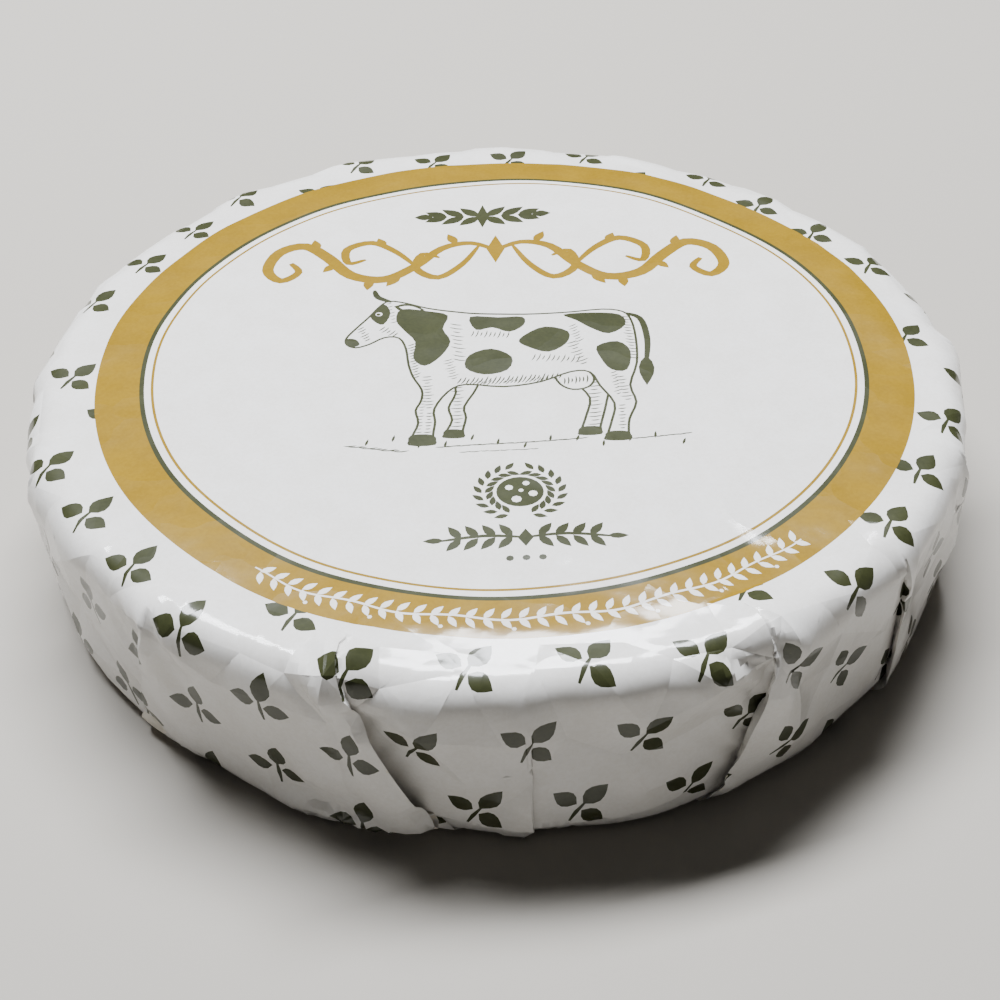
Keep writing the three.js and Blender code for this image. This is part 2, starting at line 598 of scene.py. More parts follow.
TOP_SPRAY = (-4.7, 59.5)
for foot, angle, long in ((0.9, 0.75, 6.6), (0.9, -0.75, 6.6), (4.6, 0.6, 6.8), (4.6, -0.6, 6.8),
                          (8.8, 0.42, 6.0), (8.8, -0.42, 6.0), (12.4, 0.0, 4.6)):
    both_sides(OLIVE, leaf((foot, 0), angle, long, 3.0), TOP_SPRAY)
paint(OLIVE, np.array([(0, 5.8), (-1.7, 0), (0, -5.8), (1.7, 0)]) + TOP_SPRAY)

SCROLL = (-1.5, 36.5)
for thick, ends, line in (
        (3.2, 0.35, [(0, 6.0), (6, 9.6), (13, 7.4), (19, -0.8), (26, -6.6), (34, -4.6), (40, 3.6),
                     (46, 9.2), (52, 6.4), (54, -1.4), (50.4, -6.2), (46.6, -2.4), (48.8, 1.6)]),
        (2.2, 0.3, [(4, 8.4), (8, -0.6), (13.5, -6.4), (18.8, -2.0), (17.6, 5.0), (13.4, 3.0)]),
        (2.3, 0.3, [(19, -0.8), (24, 6.4), (30, 11.0), (35.8, 7.6), (35.0, 1.0), (31.0, 2.6)])):
    both_sides(GOLD, stroke(line, thick, 4, ends), SCROLL)
for x, y, angle, long in ((9.5, 9.4, 1.15, 5.4), (22.5, -5.0, -1.0, 5.6), (29.5, -6.4, -1.5, 4.8),
                          (43.0, 7.4, 1.35, 5.0), (38.0, 0.8, -0.9, 4.6), (27.0, 9.0, 1.2, 4.6)):
    both_sides(GOLD, leaf((x, y), angle, long, 2.5), SCROLL)
paint(GOLD, np.array([(0, 13.2), (-2.2, 6.6), (0, 0.0), (2.2, 6.6)]) + SCROLL)

BADGE = (2.8, -48.5)
for i in range(9):
    a = math.radians(-72 + 17.5 * i)
    for radius_of, tilt in ((7.4, 0.55), (6.8, -0.75)):
        foot = radius_of * np.array([math.cos(a), math.sin(a)])
        both_sides(OLIVE, leaf(foot, a + math.pi / 2 - tilt, 2.9, 1.3, 4), BADGE)
paint(OLIVE, circle(4.6, 24, BADGE))         # a round of cheese with its holes
for x, y, r in ((-2.1, 1.3, 0.8), (-0.7, -2.3, 1.0), (1.2, 2.6, 0.7), (2.5, -0.6, 0.9), (0.2, 0.4, 0.5)):
    paint(PAPER, circle(r, 8, np.array(BADGE) + (x, y)))

BRANCH = (3.6, -62.0)
both_sides(OLIVE, stroke([(0, 0), (8, 0.9), (16.5, 0)], 0.8, 3, 0.5), BRANCH)
for x in (2.4, 5.6, 8.8, 12.0):
    for angle, long in ((0.95, 4.4), (-0.85, 4.2)):
        both_sides(OLIVE, leaf((x, 0.4), angle, long, 1.9, 4), BRANCH)
both_sides(OLIVE, leaf((15.2, 0.2), 0.0, 4.0, 1.6, 4), BRANCH)
paint(OLIVE, np.array([(0, 2.4), (-1.5, 0), (0, -2.4), (1.5, 0)]) + BRANCH)
for x in (0.0, 3.0, -3.0):
    paint(OLIVE, circle(0.75, 8, (BRANCH[0] + x, BRANCH[1] - 5.4)))
print(len(printed), "outlines so far")

# %% [markdown]
# ### The cow
#
# A cow in side view is a white body with a dark outline, dark patches and fine hatching.
# The body is painted twice: once in dark ink, and once in paper white and slightly
# smaller, which leaves an even line round it. The far legs are painted first, so that
# the body covers where they join it.

# %% The cow
LINE = 0.55         # mm, the width of the cow's outline


def outlined(points):
    """A smooth white shape with a dark outline."""
    shape = counter_clockwise(curve_through(points, 3, True))
    paint(OLIVE, shape)
    paint(PAPER, shape - sideways(shape, True) * LINE)


def patch(points):
    paint(OLIVE, curve_through(points, 3, True))


def hatch(start, end, count, slant, long, thick=0.34):
    """Short strokes side by side from `start` to `end`, as an engraver shades a form."""
    for i in range(count):
        at = np.array(start) + (np.array(end) - start) * i / max(count - 1, 1)
        reach = long * (0.75 + 0.25 * math.sin(2.4 * i)) / 2
        way = reach * np.array([math.cos(slant), math.sin(slant)])
        paint(OLIVE, stroke([at - way, at + 0.12 * way[::-1] * (1, -1), at + way], thick, 2, 0.2))


# the tail and the two legs of the far side
paint(OLIVE, stroke([(26.6, 13.6), (30.6, 11.4), (31.6, 3.0), (30.8, -5.0)], 1.5, 4, 0.6))
paint(OLIVE, leaf((30.9, -3.2), math.radians(-94), 11.0, 3.4))
outlined([(-10.6, -8), (-10.4, -15), (-11.8, -20.5), (-11.0, -25), (-12.2, -29.2), (-12.4, -31),
          (-8.2, -31), (-8.2, -28.6), (-7.6, -24), (-8.0, -20), (-5.4, -13), (-5, -7)])
outlined([(14.5, -7), (15.0, -13), (17.6, -18.4), (16.6, -24), (15.4, -28.6), (15.0, -30.6),
          (19.6, -30.6), (19.8, -28), (21.0, -22.6), (22.0, -17.6), (23.5, -11), (24, -5)])
hatch((-9.8, -13), (-9.6, -27), 12, 0.1, 3.0)
hatch((19.0, -13), (18.6, -27), 12, 0.1, 3.4)
outlined([(11.0, -9.5), (11.6, -13.4), (14.4, -15.6), (18.0, -14.8), (19.4, -11.4), (17, -8)])
hatch((12.8, -12.4), (17.6, -11.8), 7, 1.5, 3.0)

# the body with the near legs, the neck and the head
outlined([(27.2, 14.4), (22.5, 15.6), (14, 14.2), (5, 13.5), (-5, 14.4), (-11, 15.8), (-17, 17.6),
          (-22, 19.9), (-26, 20.8), (-28.2, 18.6), (-30.4, 14.2), (-33.2, 9.4), (-35.0, 5.8),
          (-34.6, 3.2), (-32.4, 2.0), (-29.4, 3.2), (-26.2, 5.6), (-23.2, 5.4), (-21.6, 1.4),
          (-20.8, -4.4), (-19.6, -9.2), (-17.6, -14), (-17.6, -18), (-18.6, -21.6), (-17.9, -26),
          (-19.0, -30.4), (-19.3, -33.2), (-13.9, -33.2), (-14.2, -30.2), (-13.9, -25.6),
          (-14.2, -21), (-11.6, -14.8), (-8, -12.2), (0, -13.4), (8, -12.4), (14.4, -9.4),
          (18.2, -9.6), (20.0, -14.4), (22.6, -20.4), (21.7, -26), (20.6, -30.4), (20.2, -32.6),
          (25.4, -32.6), (25.4, -30), (25.9, -25.6), (27.7, -20), (26.9, -14), (28.9, -6),
          (29.4, 3), (28.9, 10.6)])

# the ear, the horn and the face
paint(OLIVE, stroke([(-25.4, 20.2), (-28.6, 22.2), (-29.6, 25.2)], 1.5, 4, 0.35))
paint(OLIVE, leaf((-24.8, 18.4), math.radians(-14), 7.4, 3.6))
paint(PAPER, leaf((-23.6, 18.1), math.radians(-14), 5.2, 1.9))
patch([(-27.2, 19.4), (-25.4, 15.6), (-26.8, 11.0), (-29.0, 12.4), (-29.8, 15.0)])
paint(PAPER, circle(0.8, 10, (-28.0, 15.2)))
paint(OLIVE, circle(0.5, 8, (-28.1, 15.1)))
patch([(-34.6, 5.6), (-32.6, 5.4), (-31.6, 3.4), (-33.2, 2.5), (-34.5, 3.6)])
hatch((-31.8, 9.6), (-30.0, 5.2), 6, 0.7, 2.6)
hatch((-27.0, 9.4), (-24.0, 7.0), 5, 0.9, 2.8)

# the patches
for spot in (
        [(-23, 17.2), (-17, 16.2), (-12.4, 14.2), (-13.4, 9), (-11.6, 4), (-13.6, -1.5), (-17, -5.0),
         (-19.6, -2.0), (-19.4, 4), (-22.0, 8.5), (-24.0, 12.6)],
        [(-7.4, 13.2), (-1, 12.4), (4.4, 12.2), (4.6, 9), (1.4, 6.6), (-2.4, 8.6), (-6.0, 8.0)],
        [(5.2, 5.6), (9.4, 8.2), (14.4, 6.2), (13.8, 1.6), (9.8, -1.6), (5.6, 0.4), (3.4, 2.8)],
        [(13.6, 13.0), (20, 13.9), (26.2, 13.0), (27.2, 8.6), (23.4, 5.2), (19.6, 7.4), (16.4, 10.6)],
        [(20.4, 0.4), (25.0, 2.2), (27.6, -1.6), (26.4, -8.4), (23.0, -8.4), (21.0, -4.2)],
        [(-7.4, -1.4), (-2.6, 0.6), (1.8, -2.8), (0.8, -7.4), (-4.2, -8.6), (-8.2, -6.0)],
        [(-19.0, -30.0), (-14.4, -30.0), (-14.2, -32.9), (-18.9, -32.9)],
        [(20.9, -29.8), (25.0, -29.8), (25.0, -32.3), (20.6, -32.3)],
        [(-12.0, -28.4), (-8.6, -28.4), (-8.5, -30.7), (-12.1, -30.7)],
        [(15.6, -28.0), (19.4, -28.0), (19.3, -30.3), (15.2, -30.3)]):
    patch(spot)

# the shading: from, to, how many strokes, their slant and length, and how thin the fine ones are
for strokes in (
        ((-9.5, -10.6), (12, -10.6), 24, 1.15, 3.0), ((-10.5, 10.5), (-9.5, -3), 10, -0.3, 3.6),
        ((15.0, 2.0), (17.2, -6.0), 8, 0.5, 3.4), ((-16.4, -9.0), (-15.6, -20.5), 11, 0.15, 2.6),
        ((-15.4, -22.5), (-15.6, -29), 7, 0.1, 1.7), ((24.6, -11.0), (25.8, -19.0), 8, 0.15, 2.8),
        ((24.4, -21.0), (24.0, -28.6), 8, 0.1, 1.9), ((-8.0, -11.6), (9, -11.4), 22, 1.0, 2.2, 0.28),
        ((-20.2, 3.0), (-18.6, -9.0), 13, 0.5, 2.4), ((27.4, 12.0), (28.2, -4.0), 15, -0.2, 2.6),
        ((6.5, -3.4), (16.0, -4.6), 10, 1.2, 3.4, 0.28), ((-6.8, 6.6), (1.0, 5.4), 9, 1.3, 3.0, 0.28),
        ((15.4, 8.6), (16.6, 2.6), 7, 0.6, 2.8, 0.28),
        ((-12.0, -3.0), (-10.6, -9.6), 8, 0.4, 2.8, 0.28),
        ((-16.9, -17.0), (-17.4, -29.0), 12, 0.1, 1.5, 0.28),
        ((23.4, -9.4), (24.0, -17.0), 8, 0.5, 2.2, 0.28),
        ((-26.0, 19.6), (-24.4, 12.0), 7, 0.4, 1.8, 0.28)):
    hatch(*strokes)

# the ground
hatch((-31, -33.4), (-20.6, -35.0), 9, 0.12, 3.6)
hatch((-12.5, -33.8), (15.5, -31.6), 22, 0.12, 3.8)
hatch((-8, -35.6), (6, -34.8), 8, 0.1, 3.2, 0.28)
hatch((26.6, -32.0), (37, -30.6), 8, 0.12, 3.6)
for i in range(13):
    at = (-28 + 5.3 * i, -33.4 + 1.4 * math.sin(1.9 * i))
    paint(OLIVE, leaf(at, math.radians(78 + 14 * math.sin(3.1 * i)), 2.4, 0.6, 3))
print(len(printed), "outlines with", sum(len(o) for _, o in printed), "points")

# %% [markdown]
# ## Finding a point in the net
#
# Each point of the flat sheet lies in one cell of the net, some way down it and some way
# across it. Whatever is known at the cell's four corners can be mixed by those two
# shares, such as its place in space or its normal.

# %% From a flat point to its cell
FIRST_ROW = rows[0, 0]
CHUNK = 1500        # points at a time, which keeps the tables of differences small


def cell_of(xy):
    """Radius, row, column and the shares down and across for points of the flat sheet."""
    r = np.linalg.norm(xy, axis=1)
    a = (np.arctan2(xy[:, 1], xy[:, 0]) - starts[0]) % (2 * math.pi) + starts[0]
    i = np.clip(np.searchsorted(rows[:, 0], r, side="right") - 1, 0, len(rows) - 2)
    v = np.clip((r - rows[i, 0]) / (rows[i + 1, 0] - rows[i, 0]), 0, 1)
    j, u = np.zeros(len(xy), int), np.zeros(len(xy))
    for row in range(len(rows) - 1):
        in_row = np.flatnonzero(i == row)
        for some in np.array_split(in_row, max(1, len(in_row) // CHUNK)):
            lines = flat_angle[row] * (1 - v[some, None]) + flat_angle[row + 1] * v[some, None]
            lines = np.concatenate([lines, lines[:, :1] + 2 * math.pi], axis=1)
            n = np.clip((lines <= a[some, None]).sum(axis=1) - 1, 0, len(zone) - 1)
            k = np.arange(len(some))
            j[some] = n
            u[some] = (a[some] - lines[k, n]) / (lines[k, n + 1] - lines[k, n])
    return r, i, j, v, np.clip(u, 0, 1)


def blend(corners, i, j, v, u):
    """Mixes the values at a cell's four corners: top left, top right, and the lower two."""
    a, b, c, d = (corner[i, j] for corner in corners)
    v, u = v[:, None], u[:, None]
    return (a * (1 - u) + b * u) * (1 - v) + (c * (1 - u) + d * u) * v


def four_corners(net):
    right = np.roll(net, -1, axis=1)
    return net[:-1], right[:-1], net[1:], right[1:]


# %% [markdown]
# ## Creases
#
# The net is too coarse to buckle into small creases by itself. Crumpled paper is made of
# flat facets with straight creases between them, and that can be copied directly: give
# random heights to scattered points, join the points with triangles, and let each triangle
# be one facet. The heights are greatest at the rim beside the big pleats, where the paper
# was gathered by hand, and nothing where a pleat lies on top.

# %% Facets between scattered points
FIRST_RING, LAST_RING = 83.0, 150     # mm from the sheet's middle
FIRST_LOOSE, LAST_LOOSE = 84, 142     # rings between these have heights, the others have none
SPOT_STEP, SPOT_GROWTH = 6.6, 0.13    # mm between the rings, and how much it grows per mm
TUCKED = 10                           # mm behind a pleat where nothing shows
RIM_CREASES, GATHERED_CREASES, WALL_CREASES = 0.25, 1.9, 1.8     # mm

rng = np.random.default_rng(11)
spots, loose_spots = [], []
ring = FIRST_RING
while ring < LAST_RING:
    step = SPOT_STEP + (ring - FIRST_RING) * SPOT_GROWTH
    n = round(2 * math.pi * ring / (step * 1.25))
    a = (np.arange(n) + rng.uniform(-0.4, 0.4, n)) * 2 * math.pi / n
    r = ring + rng.uniform(-0.35, 0.35, n) * step
    spots.append(polar(r, a))
    loose_spots.append(np.full(n, FIRST_LOOSE < ring < LAST_LOOSE))
    ring += step
spots = np.concatenate(spots)
r, i, j, v, u = cell_of(spots)
spot_angle = round_angle[i, j]
apart = (spot_angle[:, None] - at_rim + math.pi) % (2 * math.pi) - math.pi
gathered = ((0.35 + 0.42 * stand_off) * np.exp(-(apart * WHEEL_RADIUS / 12) ** 2)).max(axis=1)
rim_zone = smooth((r - S_RIM + 6) / 6) * (1 - smooth((r - S_WALL - 2) / 14))
wall_zone = smooth((r - S_RIM) / 9) * (1 - smooth((r - S_LOW + 2) / 7))
behind = apart * on_top * WHEEL_RADIUS          # mm behind the pleat that lies on top
tucked = ((behind > -1) & (behind < TUCKED) & (r[:, None] > S_RIM + 3)).any(axis=1)
spot_height = rng.uniform(0, 1, len(spots)) * np.concatenate(loose_spots) * (
    rim_zone * (RIM_CREASES + GATHERED_CREASES * gathered) + WALL_CREASES * wall_zone)
spot_height = spot_height * (1 - covered[i, j]) * ~tucked

net_of_spots = delaunay_2d_cdt([Vector(p) for p in spots.tolist()], [], [], 0, 1e-5, True)
spots = np.array([tuple(p) for p in net_of_spots[0]])
spot_height = spot_height[[old[0] for old in net_of_spots[3]]]
facets = np.array(net_of_spots[2])
facets = facets[spot_height[facets].max(axis=1) > 0.02]


def planes_of(corners, heights):
    """The slopes and the level of the plane through each triangle's three heights."""
    matrix = np.concatenate([corners, np.ones((len(corners), 3, 1))], axis=2)
    return np.linalg.solve(matrix, heights[..., None])[..., 0]


planes = np.concatenate([[(0, 0, 0)], planes_of(spots[facets], spot_height[facets])])
print(len(facets), "facets, up to %.1f mm high" % spot_height.max())

# %% [markdown]
# ## Cutting the print and the creases into the sheet
#
# Every outline and every facet becomes part of the sheet's mesh. Blender can triangulate
# a flat drawing so that all of the given lines are edges (a constrained Delaunay
# triangulation), and it reports which of the given shapes each triangle lies in. The
# shape painted last is on top, so the highest number gives the triangle's ink. We hand it
# the sheet, the facets, the outlines, the points of the net and the fold lines, all flat,
# and fold the result afterwards.

# %% The flat sheet with its print and creases
PRINT_CENTRE = np.array([1.6, 0.0])     # mm: the sheet was laid on a little off centre

# the net is thinned where its columns run close together, and under the wheel
net_ids = np.full(flat.shape[:2], -1)
keep = np.ones(flat.shape[:2], bool)
column = np.arange(len(zone))
keep[:, column % 4 > 0] &= rows > 60
keep[:, column % 2 > 0] &= rows > 86
keep[:, (column % 2 > 0) & ~fold_here] &= rows < S_UNDER + 10
keep[-1] = True
net_ids[keep] = np.arange(keep.sum())
MIDDLE_RINGS = ((8, 6), (16, 12), (24, 20), (32, 26))     # radius in mm and corners
points = [flat[keep]] + [circle(r, n) for r, n in MIDDLE_RINGS]
total = sum(len(p) for p in points)

fold_lines = []
for at in np.flatnonzero(fold_here & (zone > 0)):
    line = net_ids[rows[:, 0] > S_RIM, at]
    line = line[line >= 0]
    fold_lines += list(zip(line[:-1].tolist(), line[1:].tolist()))

CREASE_STEP = 2.0     # mm


def creased(triangle):
    """A facet's outline with so many points that its creases can follow a bend."""
    sides = []
    for a, b in zip(triangle, np.roll(triangle, -1, axis=0)):
        steps = max(1, round(float(np.linalg.norm(b - a)) / CREASE_STEP))
        sides.append(a + (b - a) * np.arange(steps)[:, None] / steps)
    return np.concatenate(sides)


outlines = [(PAPER, creased(spots[corners])) for corners in facets]
outlines += [(colour, outline + PRINT_CENTRE) for colour, outline in printed]
shapes, inks = [net_ids[-1].tolist()], [PAPER]
for colour, outline in outlines:
    shapes.append(list(range(total, total + len(outline))))
    inks.append(colour)
    points.append(counter_clockwise(outline))
    total += len(outline)
flat_points = [Vector(p) for p in np.concatenate(points).tolist()]

cut = delaunay_2d_cdt(flat_points, fold_lines, shapes, 1, 1e-5, True)
xy = np.array([tuple(p) for p in cut[0]])
triangles = np.array(cut[2])
ink = np.array([inks[max(ids)] for ids in cut[5]])
facet = np.array([max([k for k in ids if k <= len(facets)]) for ids in cut[5]])
renumbered = {old: n for n, olds in enumerate(cut[3]) for old in olds}
sheet_edge = np.array([renumbered[old] for old in net_ids[-1].tolist()])
print("cut sheet:", len(xy), "points,", len(triangles), "triangles")

# %% [markdown]
# ## Folding the cut sheet
#
# Now every point moves to its place: its cell of the folded net gives the place, and its
# facet gives the height above it. The middle of the top has no net: it stays flat, with
# low swells, because film-laminated paper never lies quite flat on a soft rind.

# %% From the flat sheet to the folded one
SWELL = 0.7         # mm, the height of the swells on the top


def swells(xy):
    """Low hills and hollows of the sheet's top, in mm, from its flat coordinates."""
    x, y = xy[..., 0], xy[..., 1]
    hill = np.sin(x / 13.0 + 0.9 * np.sin(y / 17.0)) + 0.7 * np.sin(y / 10.0 + 1.3 * np.sin(x / 14.0))
    hill += 0.5 * np.sin((x + y) / 6.3 + 1.1) * np.sin((x - 1.6 * y) / 21.0)
    return SWELL * (0.9 + 0.42 * hill) * (1 - smooth((np.hypot(x, y) - 84) / 10))


r, i, j, v, u = cell_of(xy)
place = blend(four_corners(sheet), i, j, v, u)
middle = r < FIRST_ROW
place[middle, :2] = xy[middle]
place[middle, 2] = WHEEL_TOP + AIR
raised = np.zeros(len(xy))
raised[triangles] = (np.sum(xy[triangles] * planes[facet, None, :2], axis=-1)
                     + planes[facet, None, 2])
place += away_from_wheel(place)[1] * raised[:, None]
place[:, 2] = np.maximum(place[:, 2] + swells(xy), FLOOR)
print("folded sheet: z %.2f to %.2f mm" % (place[:, 2].min(), place[:, 2].max()))

# %% [markdown]
# ## Sharp folds and soft bends
#
# Paper bends softly in one place and is creased hard in the next, so neither flat nor
# smooth shading is right for it. Every corner of every cell gets its own normal: the mean
# of the cells round it, in which a cell counts less the more it is turned away. Where two
# cells differ by a few degrees the shading is smooth, and across a crease it is sharp.

# %% Normals that keep the creases
SHARP = 0.4         # radians: cells that differ more than this aren't mixed

down_edge = sheet[1:] - sheet[:-1]
across_edge = np.roll(sheet, -1, axis=1) - sheet
cell_down = (down_edge + np.roll(down_edge, -1, axis=1)) / 2
cell_across = (across_edge[:-1] + across_edge[1:]) / 2
cell_normal = unit(np.cross(cell_down, cell_across))
# the direction that a cell would have on a smooth wheel: its curve isn't a crease
ideal = np.concatenate([outward, np.broadcast_to(out_z[..., None], outward.shape[:2] + (1,))], axis=-1)
ideal = (ideal[:-1] + ideal[1:]) / 2


def corner_normals(di, dj):
    """Normals of the cells at one of their corners, mixed with their three neighbours'."""
    result = cell_normal.copy()
    for step_i, step_j in ((di, 0), (0, dj), (di, dj)):
        other = np.roll(cell_normal, (-step_i, -step_j), axis=(0, 1))
        curve = np.roll(ideal, (-step_i, -step_j), axis=(0, 1)) - ideal
        if step_i:
            edge = -1 if step_i > 0 else 0
            other[edge], curve[edge] = cell_normal[edge], 0
        bend = np.linalg.norm(other - cell_normal - curve, axis=-1)
        result += other * np.exp(-(bend / SHARP) ** 2)[..., None]
    return result / np.linalg.norm(result, axis=-1, keepdims=True)


normal_corners = [corner_normals(di, dj) for di, dj in ((-1, -1), (-1, 1), (1, -1), (1, 1))]


def swell_normals(xy):
    """What the swells add to the normals at flat points."""
    step = 0.5
    slope_x = (swells(xy + (step, 0)) - swells(xy - (step, 0))) / (2 * step)
    slope_y = (swells(xy + (0, step)) - swells(xy - (0, step))) / (2 * step)
    return np.stack([-slope_x, -slope_y, np.zeros(len(xy))], axis=1)


along_down, along_round = unit(cell_down), unit(cell_across)
outward_side = np.sign(np.sum(cell_normal * ideal, axis=-1))

# one normal for every corner of every triangle, taken just inside the triangle
corners = xy[triangles]
INSET = 0.03
inside = (corners + (corners.mean(axis=1, keepdims=True) - corners) * INSET).reshape(-1, 2)
r, i, j, v, u = cell_of(inside)
normals = blend(normal_corners, i, j, v, u)
normals[r < FIRST_ROW] = (0, 0, 1)
slope_x, slope_y = np.repeat(planes[facet, :2], 3, axis=0).T * outward_side[i, j]
x, y = inside.T / np.maximum(r, 1e-6)
normals -= (slope_x * x + slope_y * y)[:, None] * along_down[i, j]
normals -= (slope_y * x - slope_x * y)[:, None] * along_round[i, j]
normals = unit(normals + swell_normals(inside))
print(len(normals), "corner normals")

# %% [markdown]
# ## Two skins, a paper's thickness apart
#
# A sheet has a printed side and a plain side. Both are copies of the cut sheet, moved
# half a thickness from the middle of the paper, and a narrow band closes the sheet's
# edge. The two skins have the same triangles, so they run side by side.

# %% The wrapper's mesh
PAPER_THICKNESS = 0.11     # mm

point_normals = np.zeros((len(xy), 3))
np.add.at(point_normals, triangles.ravel(), normals)
half_paper = unit(point_normals) * PAPER_THICKNESS / 2
places = np.concatenate([place + half_paper, place - half_paper])

edge, back_edge = sheet_edge, sheet_edge + len(place)
next_edge, next_back = np.roll(edge, -1), np.roll(back_edge, -1)
band = np.concatenate([np.stack([edge, back_edge, next_back], axis=1),
                       np.stack([edge, next_back, next_edge], axis=1)])
band_normals = unit(np.cross(places[band[:, 1]] - places[band[:, 0]],
                             places[band[:, 2]] - places[band[:, 0]]))

all_triangles = np.concatenate([triangles, triangles[:, ::-1] + len(place), band])
shading = np.concatenate([normals, -normals.reshape(-1, 3, 3)[:, ::-1].reshape(-1, 3),
                          np.repeat(band_normals, 3, axis=0)])
ink_of = np.concatenate([ink, np.full(len(triangles) + len(band), BACK)])
flat_of = np.concatenate([xy, xy])


def new_object(name, points_mm, faces):
    mesh = bpy.data.meshes.new(name)
    mesh.from_pydata((np.asarray(points_mm) * MM).tolist(), [], faces)
    mesh.polygons.foreach_set("use_smooth", [True] * len(mesh.polygons))
    thing = bpy.data.objects.new(name, mesh)
    bpy.context.scene.collection.objects.link(thing)
    return thing


wrapper = new_object("paper_wrapper", places, all_triangles.tolist())
wrapper.data.polygons.foreach_set("material_index", ink_of.astype(np.int32))
uv = wrapper.data.uv_layers.new(name="flat_sheet")
uv.data.foreach_set("uv", (flat_of[all_triangles.ravel()] / (2 * SHEET_RADIUS) + 0.5).ravel())
wrapper.data.normals_split_custom_set(shading.tolist())
print("wrapper:", len(places), "points,", len(all_triangles), "triangles")

# %% [markdown]
# ## The cheese
#
# The wheel is hardly seen: only through the small opening that the folded paper leaves at
# the middle of the underside. It is still made whole, so that the wrapper has something
# to lie on. It isn't a perfect cylinder, and the draining mat has pressed a grid of
# shallow grooves into both faces.

# %% The wheel of cheese
MAT_PITCH, MAT_DEPTH, BULGE, GRAIN = 6.0, 0.35, 0.45, 0.12     # mm
TOP_ROUND, BOTTOM_ROUND = 9.0, 7.0                             # mm

# down the outline: the direction of the surface, and its radius and height
quarter = np.linspace(0, math.pi / 2, 9)[:, None]
flat_top = np.arange(1.5, WHEEL_RADIUS - TOP_ROUND - 0.5, 1.5)[:, None]
flat_under = np.arange(WHEEL_RADIUS - BOTTOM_ROUND - 1.5, 1, -1.5)[:, None]
wall_down = np.linspace(WHEEL_TOP - TOP_ROUND, WHEEL_BOTTOM + BOTTOM_ROUND, 15)[1:-1, None]
turned = np.concatenate([flat_top * 0, quarter, wall_down * 0 + math.pi / 2,
                         quarter + math.pi / 2, flat_under * 0 + math.pi])
n_r, n_z = np.sin(turned), np.cos(turned)
r = np.concatenate([flat_top, WHEEL_RADIUS - TOP_ROUND * (1 - np.sin(quarter)),
                    wall_down * 0 + WHEEL_RADIUS,
                    WHEEL_RADIUS - BOTTOM_ROUND * (1 - np.cos(quarter)), flat_under])
z = np.concatenate([flat_top * 0 + WHEEL_TOP, WHEEL_TOP - TOP_ROUND * (1 - np.cos(quarter)),
                    wall_down, WHEEL_BOTTOM + BOTTOM_ROUND * (1 - np.sin(quarter)),
                    flat_under * 0 + WHEEL_BOTTOM])
around = np.radians(np.arange(0, 360, 1.5))[None]
x, y = r * np.cos(around), r * np.sin(around)
groove = np.cos(2 * math.pi * x / MAT_PITCH) ** 8 + np.cos(2 * math.pi * y / MAT_PITCH) ** 8
dent = MAT_DEPTH * np.minimum(groove, 1) * abs(n_z) ** 6
dent = dent + BULGE * (0.5 + 0.25 * np.sin(3 * around + z / 9) + 0.25 * np.sin(7 * around - z / 6))
dent = dent + np.random.default_rng(5).uniform(0, GRAIN, dent.shape)
x, y = x - dent * n_r * np.cos(around), y - dent * n_r * np.sin(around)
body = np.stack([x, y, np.broadcast_to(z, x.shape) - dent * n_z], axis=-1)
n_rows, n_cols = body.shape[:2]
grid = np.arange(n_rows * n_cols).reshape(n_rows, n_cols)
right = np.roll(grid, -1, axis=1)
quads = np.stack([grid[:-1], grid[1:], right[1:], right[:-1]], axis=-1).reshape(-1, 4).tolist()
top, bottom = n_rows * n_cols, n_rows * n_cols + 1
quads += [(top, a, b) for a, b in zip(grid[0].tolist(), right[0].tolist())]
quads += [(bottom, b, a) for a, b in zip(grid[-1].tolist(), right[-1].tolist())]
ends = [(0, 0, body[0, :, 2].mean()), (0, 0, body[-1, :, 2].mean())]
cheese = new_object("cheese_rind", np.concatenate([body.reshape(-1, 3), ends]), quads)
print("cheese: radius up to %.1f mm" % np.hypot(x, y).max())

# %% [markdown]
# ## Materials
#
# All of the paper's inks lie under one thin clear film, so they share the film and differ
# in what is under it. Patterns are measured in millimetres on the flat sheet: the sheet's
# UV map is turned back into millimetres first, so creases follow the paper into its folds.

# %% Helpers for materials
def srgb(text, alpha=1.0):
    """A colour such as #BB9F5E in the linear values that a shader wants."""
    parts = [int(text[i:i + 2], 16) / 255 for i in (1, 3, 5)]
    return [p / 12.92 if p <= 0.04045 else ((p + 0.055) / 1.055) ** 2.4 for p in parts] + [alpha]


def fill(tree, node, inputs):
    """Gives each input a value, or a link when it is given another node's output."""
    for name, value in inputs.items():
        if isinstance(value, bpy.types.NodeSocket):
            tree.links.new(value, node.inputs[name])
        else:
            node.inputs[name].default_value = value


def add(tree, kind, inputs=None, **settings):
    """Adds a node with its settings and inputs."""
    node = tree.nodes.new("ShaderNode" + kind)
    for name, value in settings.items():
        setattr(node, name, value)
    fill(tree, node, inputs or {})
    return node


def new_material(name):
    material = bpy.data.materials.new(name)
    material.use_nodes = True
    tree = material.node_tree
    return material, tree, tree.nodes["Principled BSDF"]


# %% [markdown]
# ### Film-laminated paper
#
# The film is what makes the wrapper look like a cheese wrapper and not like a napkin: it
# gives narrow bright highlights on every ridge, over paper that is itself nearly matt. In
# the shader the paper is the rough base and the film is the coat. Its surface isn't quite
# even: it has faint waves of some millimetres, and sharp little creases where hands have
# gathered it, which is nearly only on the wall.

